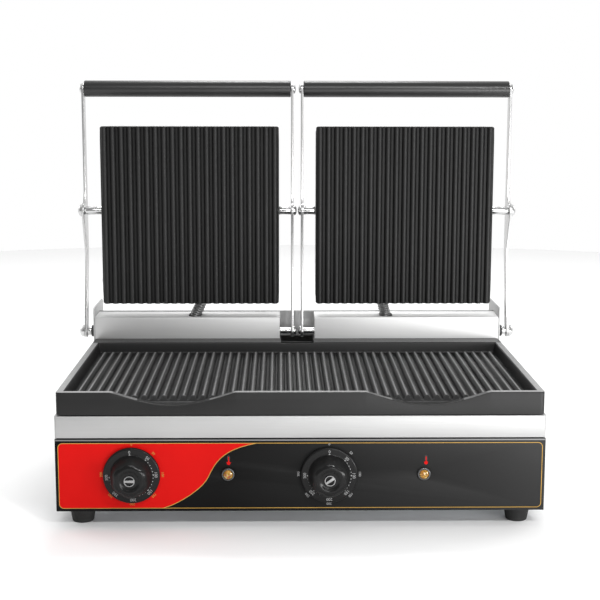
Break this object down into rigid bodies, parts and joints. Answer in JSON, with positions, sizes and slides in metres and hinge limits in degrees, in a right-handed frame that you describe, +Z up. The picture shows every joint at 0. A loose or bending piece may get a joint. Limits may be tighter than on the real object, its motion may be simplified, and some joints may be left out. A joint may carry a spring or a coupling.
{
  "type": "double contact grill",
  "caption": "Countertop double panini press: ribbed cast lower plate on a steel base, ribbed upper plates on hinged lids with bar handles, dial thermostats and lamps.",
  "frame": {"origin": "on the worktop, under the middle of the whole grill's bounding box, lids open", "axes": "+Z up, +X to the user's right along the hinge line, +Y to the rear, front panel at -Y"},
  "size_m": [0.5342, 0.4128, 0.4545],
  "materials": {
    "stainless": "fine brushed",
    "bright_steel": "polished",
    "zinc_steel": "zinc plated, satin",
    "cast_iron": "satin, as ground and seasoned",
    "black_paint": "satin powder coat",
    "black_rubber": "matte",
    "black_grip": "matte heat-proof sleeve",
    "black_moulding": "semi-gloss moulding",
    "chrome": "polished",
    "amber": "clear amber, faceted",
    "nylon": "moulded",
    "steatite": "pale ceramic body",
    "element_steel": "heat tinted sheath",
    "brass": "turned"
  },
  "bodies": {
    "base": {"body_shell": "stainless", "front_panel": "black_paint", "bottom_pan": "zinc_steel", "lower_plate": "cast_iron", "hinge_tray": "stainless", "cable_gland": "nylon", "foot_front_left": "black_rubber", "foot_front_right": "black_rubber", "foot_rear_left": "black_rubber", "foot_rear_right": "black_rubber", "lower_heater_left": "element_steel", "lower_heater_right": "element_steel", "hinge_cover_left": "stainless", "hinge_cover_right": "stainless", "hinge_bracket_left": "zinc_steel", "hinge_bracket_right": "zinc_steel", "hinge_bush_left": "nylon", "hinge_bush_right": "nylon", "spring_anchor_left": "zinc_steel", "spring_anchor_right": "zinc_steel", "counter_spring_left": "bright_steel", "counter_spring_right": "bright_steel", "conduit_left": "zinc_steel", "conduit_right": "zinc_steel", "thermostat_left": "steatite", "thermostat_right": "steatite", "lamp_bezel_left": "chrome", "lamp_bezel_right": "chrome", "lamp_lens_left": "amber", "lamp_lens_right": "amber"},
    "knob_left": {"knob_left": "black_moulding", "knob_insert_left": "chrome", "knob_spindle_left": "brass"},
    "lid_left": {"arm_outer_left": "bright_steel", "arm_inner_left": "bright_steel", "hinge_shaft_left": "bright_steel", "handle_grip_left": "black_grip", "handle_rod_left": "bright_steel"},
    "plate_left": {"upper_plate_left": "cast_iron", "upper_casing_left": "stainless", "upper_heater_left": "element_steel", "pivot_bolt_outer_left": "bright_steel", "pivot_bolt_inner_left": "bright_steel"},
    "knob_right": {"knob_right": "black_moulding", "knob_insert_right": "chrome", "knob_spindle_right": "brass"},
    "lid_right": {"arm_outer_right": "bright_steel", "arm_inner_right": "bright_steel", "hinge_shaft_right": "bright_steel", "handle_grip_right": "black_grip", "handle_rod_right": "bright_steel"},
    "plate_right": {"upper_plate_right": "cast_iron", "upper_casing_right": "stainless", "upper_heater_right": "element_steel", "pivot_bolt_outer_right": "bright_steel", "pivot_bolt_inner_right": "bright_steel"}
  },
  "joints": [
    {"name": "lid_hinge_left", "type": "hinge", "parent": "base", "child": "lid_left", "pos_m": [0, 0.1156, 0.1505], "axis": [1, 0, 0], "range_deg": [0, 90], "deforming": ["conduit_left", "counter_spring_left"]},
    {"name": "plate_tilt_left", "type": "hinge", "parent": "lid_left", "child": "plate_left", "pos_m": [0, 0.1156, 0.2989], "axis": [-1, 0, 0], "range_deg": [-12, 0], "deforming": ["conduit_left"]},
    {"name": "knob_turn_left", "type": "hinge", "parent": "base", "child": "knob_left", "pos_m": [-0.1718, -0.1814, 0.0568], "axis": [0, 1, 0], "range_deg": [0, 270]},
    {"name": "lid_hinge_right", "type": "hinge", "parent": "base", "child": "lid_right", "pos_m": [0, 0.1156, 0.1505], "axis": [1, 0, 0], "range_deg": [0, 90], "deforming": ["conduit_right", "counter_spring_right"]},
    {"name": "plate_tilt_right", "type": "hinge", "parent": "lid_right", "child": "plate_right", "pos_m": [0, 0.1156, 0.2989], "axis": [-1, 0, 0], "range_deg": [-12, 0], "deforming": ["conduit_right"]},
    {"name": "knob_turn_right", "type": "hinge", "parent": "base", "child": "knob_right", "pos_m": [0.029, -0.1814, 0.0568], "axis": [0, 1, 0], "range_deg": [0, 270]}
  ]
}
